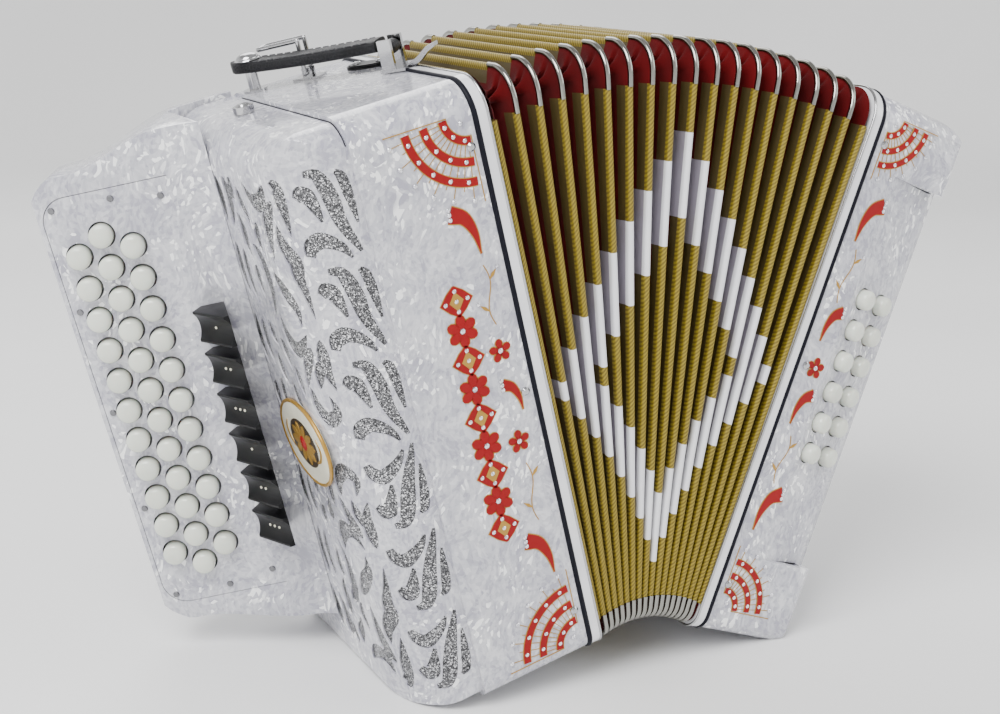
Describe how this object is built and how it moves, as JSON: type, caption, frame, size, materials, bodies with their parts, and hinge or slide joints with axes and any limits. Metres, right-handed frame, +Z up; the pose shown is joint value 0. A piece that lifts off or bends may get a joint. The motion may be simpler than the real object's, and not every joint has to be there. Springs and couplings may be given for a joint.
{
  "type": "button accordion",
  "caption": "Diatonic button accordion opened like a fan: slanted button board, fretwork grille, rocking register switches, folded bellows and a bass end with a hand strap.",
  "frame": {"origin": "centre of the footprint box, on the floor the opened instrument stands on", "axes": "+Z up, X along the instrument from treble (-X) to bass (+X), -Y towards the audience"},
  "size_m": [0.5096, 0.184, 0.3532],
  "materials": {
    "pearl": "mother-of-pearl celluloid, polished",
    "pearl_frame": "white celluloid with chrome edge trim",
    "ivory": "polished ivory-white plastic",
    "black_gloss": "polished black plastic",
    "glitter": "silver glitter screen",
    "badge": "cream enamel with a gold rim",
    "chrome": "polished chrome",
    "gold_fold": "gold woven tape over card, red cloth gussets, chrome corners",
    "rubber": "black rubber",
    "leather": "black leather, stitched",
    "wood": "bare spruce"
  },
  "bodies": {
    "treble": {"treble_casing": "pearl", "treble_reed_blocks": "wood", "treble_bellows_frame": "pearl_frame", "treble_gasket": "rubber", "treble_bellows_pins": "chrome", "grille_cover": "pearl", "grille_screen": "glitter", "grille_badge": "badge", "grille_thumbscrews": "chrome", "fingerboard": "pearl", "button_plate": "pearl", "plate_screws": "chrome", "register_rail": "pearl", "strap_clip": "chrome", "strap_bracket": "chrome", "strap_parking_stud": "chrome", "lower_strap_loop": "chrome"},
    "bass": {"bass_casing": "pearl", "bass_reed_block": "wood", "bass_bellows_frame": "pearl_frame", "bass_gasket": "rubber", "bass_bellows_pins": "chrome", "hand_strap": "leather", "hand_strap_brackets": "chrome"},
    "fold_01": {"fold_01": "gold_fold"},
    "fold_02": {"fold_02": "gold_fold"},
    "fold_03": {"fold_03": "gold_fold"},
    "fold_04": {"fold_04": "gold_fold"},
    "fold_05": {"fold_05": "gold_fold"},
    "fold_06": {"fold_06": "gold_fold"},
    "fold_07": {"fold_07": "gold_fold"},
    "fold_08": {"fold_08": "gold_fold"},
    "fold_09": {"fold_09": "gold_fold"},
    "fold_10": {"fold_10": "gold_fold"},
    "fold_11": {"fold_11": "gold_fold"},
    "fold_12": {"fold_12": "gold_fold"},
    "fold_13": {"fold_13": "gold_fold"},
    "fold_14": {"fold_14": "gold_fold"},
    "fold_15": {"fold_15": "gold_fold"},
    "fold_16": {"fold_16": "gold_fold"},
    "fold_17": {"fold_17": "gold_fold"},
    "buttons_outer": {"treble_buttons_outer": "ivory"},
    "buttons_middle": {"treble_buttons_middle": "ivory"},
    "buttons_inner": {"treble_buttons_inner": "ivory"},
    "register_switch_1": {"register_switch_1": "black_gloss"},
    "register_switch_2": {"register_switch_2": "black_gloss"},
    "register_switch_3": {"register_switch_3": "black_gloss"},
    "register_switch_4": {"register_switch_4": "black_gloss"},
    "register_switch_5": {"register_switch_5": "black_gloss"},
    "register_switch_6": {"register_switch_6": "black_gloss"},
    "strap_loop": {"strap_loop": "chrome"},
    "bellows_strap": {"bellows_strap": "leather"},
    "bass_buttons_front": {"bass_buttons_front": "ivory"},
    "bass_buttons_end": {"bass_buttons_end": "ivory"},
    "hand_strap_adjuster": {"hand_strap_adjuster": "chrome"},
    "air_button": {"air_button": "ivory"}
  },
  "joints": [
    {"name": "bass_fan", "type": "hinge", "parent": "treble", "child": "bass", "pos_m": [0.03791, -0.00549, 0.01711], "axis": [0, 1, 0], "range_deg": [-34.6, 5.4]},
    {"name": "fold_01_turn", "type": "hinge", "parent": "treble", "child": "fold_01", "pos_m": [0.03791, -0.00549, 0.01711], "axis": [0, 1, 0], "range_deg": [-2.29, 0.37]},
    {"name": "fold_02_turn", "type": "hinge", "parent": "treble", "child": "fold_02", "pos_m": [0.03791, -0.00549, 0.01711], "axis": [0, 1, 0], "range_deg": [-4.17, 0.67]},
    {"name": "fold_03_turn", "type": "hinge", "parent": "treble", "child": "fold_03", "pos_m": [0.03791, -0.00549, 0.01711], "axis": [0, 1, 0], "range_deg": [-6.05, 0.96]},
    {"name": "fold_04_turn", "type": "hinge", "parent": "treble", "child": "fold_04", "pos_m": [0.03791, -0.00549, 0.01711], "axis": [0, 1, 0], "range_deg": [-7.92, 1.25]},
    {"name": "fold_05_turn", "type": "hinge", "parent": "treble", "child": "fold_05", "pos_m": [0.03791, -0.00549, 0.01711], "axis": [0, 1, 0], "range_deg": [-9.8, 1.55]},
    {"name": "fold_06_turn", "type": "hinge", "parent": "treble", "child": "fold_06", "pos_m": [0.03791, -0.00549, 0.01711], "axis": [0, 1, 0], "range_deg": [-11.68, 1.84]},
    {"name": "fold_07_turn", "type": "hinge", "parent": "treble", "child": "fold_07", "pos_m": [0.03791, -0.00549, 0.01711], "axis": [0, 1, 0], "range_deg": [-13.56, 2.13]},
    {"name": "fold_08_turn", "type": "hinge", "parent": "treble", "child": "fold_08", "pos_m": [0.03791, -0.00549, 0.01711], "axis": [0, 1, 0], "range_deg": [-15.44, 2.43]},
    {"name": "fold_09_turn", "type": "hinge", "parent": "treble", "child": "fold_09", "pos_m": [0.03791, -0.00549, 0.01711], "axis": [0, 1, 0], "range_deg": [-17.32, 2.72]},
    {"name": "fold_10_turn", "type": "hinge", "parent": "treble", "child": "fold_10", "pos_m": [0.03791, -0.00549, 0.01711], "axis": [0, 1, 0], "range_deg": [-19.2, 3.01]},
    {"name": "fold_11_turn", "type": "hinge", "parent": "treble", "child": "fold_11", "pos_m": [0.03791, -0.00549, 0.01711], "axis": [0, 1, 0], "range_deg": [-21.08, 3.31]},
    {"name": "fold_12_turn", "type": "hinge", "parent": "treble", "child": "fold_12", "pos_m": [0.03791, -0.00549, 0.01711], "axis": [0, 1, 0], "range_deg": [-22.95, 3.6]},
    {"name": "fold_13_turn", "type": "hinge", "parent": "treble", "child": "fold_13", "pos_m": [0.03791, -0.00549, 0.01711], "axis": [0, 1, 0], "range_deg": [-24.83, 3.89]},
    {"name": "fold_14_turn", "type": "hinge", "parent": "treble", "child": "fold_14", "pos_m": [0.03791, -0.00549, 0.01711], "axis": [0, 1, 0], "range_deg": [-26.71, 4.19]},
    {"name": "fold_15_turn", "type": "hinge", "parent": "treble", "child": "fold_15", "pos_m": [0.03791, -0.00549, 0.01711], "axis": [0, 1, 0], "range_deg": [-28.59, 4.48]},
    {"name": "fold_16_turn", "type": "hinge", "parent": "treble", "child": "fold_16", "pos_m": [0.03791, -0.00549, 0.01711], "axis": [0, 1, 0], "range_deg": [-30.47, 4.77]},
    {"name": "fold_17_turn", "type": "hinge", "parent": "treble", "child": "fold_17", "pos_m": [0.03791, -0.00549, 0.01711], "axis": [0, 1, 0], "range_deg": [-32.35, 5.07]},
    {"name": "buttons_outer_press", "type": "slide", "parent": "treble", "child": "buttons_outer", "axis": [0.433, 0.8949, 0.1078], "range_m": [0, 0.003], "stiffness_N_per_m": 250, "springref_m": -0.004},
    {"name": "buttons_middle_press", "type": "slide", "parent": "treble", "child": "buttons_middle", "axis": [0.433, 0.8949, 0.1078], "range_m": [0, 0.003], "stiffness_N_per_m": 250, "springref_m": -0.004},
    {"name": "buttons_inner_press", "type": "slide", "parent": "treble", "child": "buttons_inner", "axis": [0.433, 0.8949, 0.1078], "range_m": [0, 0.003], "stiffness_N_per_m": 250, "springref_m": -0.004},
    {"name": "register_switch_1_rock", "type": "hinge", "parent": "treble", "child": "register_switch_1", "pos_m": [-0.16659, 0.02777, 0.20291], "axis": [0.8684, -0.4462, 0.2162], "range_deg": [-5, 5]},
    {"name": "register_switch_2_rock", "type": "hinge", "parent": "treble", "child": "register_switch_2", "pos_m": [-0.16079, 0.02777, 0.17962], "axis": [0.8684, -0.4462, 0.2162], "range_deg": [-5, 5]},
    {"name": "register_switch_3_rock", "type": "hinge", "parent": "treble", "child": "register_switch_3", "pos_m": [-0.155, 0.02777, 0.15633], "axis": [0.8684, -0.4462, 0.2162], "range_deg": [-5, 5]},
    {"name": "register_switch_4_rock", "type": "hinge", "parent": "treble", "child": "register_switch_4", "pos_m": [-0.1492, 0.02777, 0.13304], "axis": [0.8684, -0.4462, 0.2162], "range_deg": [-5, 5]},
    {"name": "register_switch_5_rock", "type": "hinge", "parent": "treble", "child": "register_switch_5", "pos_m": [-0.1434, 0.02777, 0.10975], "axis": [0.8684, -0.4462, 0.2162], "range_deg": [-5, 5]},
    {"name": "register_switch_6_rock", "type": "hinge", "parent": "treble", "child": "register_switch_6", "pos_m": [-0.1376, 0.02777, 0.08646], "axis": [0.8684, -0.4462, 0.2162], "range_deg": [-5, 5]},
    {"name": "strap_loop_swing", "type": "hinge", "parent": "treble", "child": "strap_loop", "pos_m": [-0.10737, 0.04152, 0.33039], "axis": [0.6965, 0.6963, 0.1734], "range_deg": [-25, 85]},
    {"name": "bellows_strap_lift", "type": "hinge", "parent": "treble", "child": "bellows_strap", "pos_m": [-0.08144, -0.00949, 0.34746], "axis": [0.6965, 0.6963, 0.1734], "range_deg": [0, 17]},
    {"name": "bass_buttons_front_press", "type": "slide", "parent": "bass", "child": "bass_buttons_front", "axis": [-0.2689, 0.9578, 0.1012], "range_m": [0, 0.003], "stiffness_N_per_m": 150, "springref_m": -0.004},
    {"name": "bass_buttons_end_press", "type": "slide", "parent": "bass", "child": "bass_buttons_end", "axis": [-0.2689, 0.9578, 0.1012], "range_m": [0, 0.003], "stiffness_N_per_m": 150, "springref_m": -0.004},
    {"name": "hand_strap_adjuster_turn", "type": "hinge", "parent": "bass", "child": "hand_strap_adjuster", "pos_m": [0.24604, 0.03151, 0.25367], "axis": [0.3522, 0, 0.9359], "continuous": true},
    {"name": "air_button_press", "type": "slide", "parent": "bass", "child": "air_button", "axis": [-0.9359, 0, 0.3522], "range_m": [0, 0.003], "stiffness_N_per_m": 150, "springref_m": -0.004}
  ],
  "couplings": [
    {"joint": "fold_01_turn", "follows": "bass_fan", "ratio": 0.06555},
    {"joint": "fold_02_turn", "follows": "bass_fan", "ratio": 0.11985},
    {"joint": "fold_03_turn", "follows": "bass_fan", "ratio": 0.17415},
    {"joint": "fold_04_turn", "follows": "bass_fan", "ratio": 0.22845},
    {"joint": "fold_05_turn", "follows": "bass_fan", "ratio": 0.28275},
    {"joint": "fold_06_turn", "follows": "bass_fan", "ratio": 0.33705},
    {"joint": "fold_07_turn", "follows": "bass_fan", "ratio": 0.39135},
    {"joint": "fold_08_turn", "follows": "bass_fan", "ratio": 0.44565},
    {"joint": "fold_09_turn", "follows": "bass_fan", "ratio": 0.49995},
    {"joint": "fold_10_turn", "follows": "bass_fan", "ratio": 0.55425},
    {"joint": "fold_11_turn", "follows": "bass_fan", "ratio": 0.60855},
    {"joint": "fold_12_turn", "follows": "bass_fan", "ratio": 0.66285},
    {"joint": "fold_13_turn", "follows": "bass_fan", "ratio": 0.71715},
    {"joint": "fold_14_turn", "follows": "bass_fan", "ratio": 0.77145},
    {"joint": "fold_15_turn", "follows": "bass_fan", "ratio": 0.82575},
    {"joint": "fold_16_turn", "follows": "bass_fan", "ratio": 0.88005},
    {"joint": "fold_17_turn", "follows": "bass_fan", "ratio": 0.93435}
  ]
}
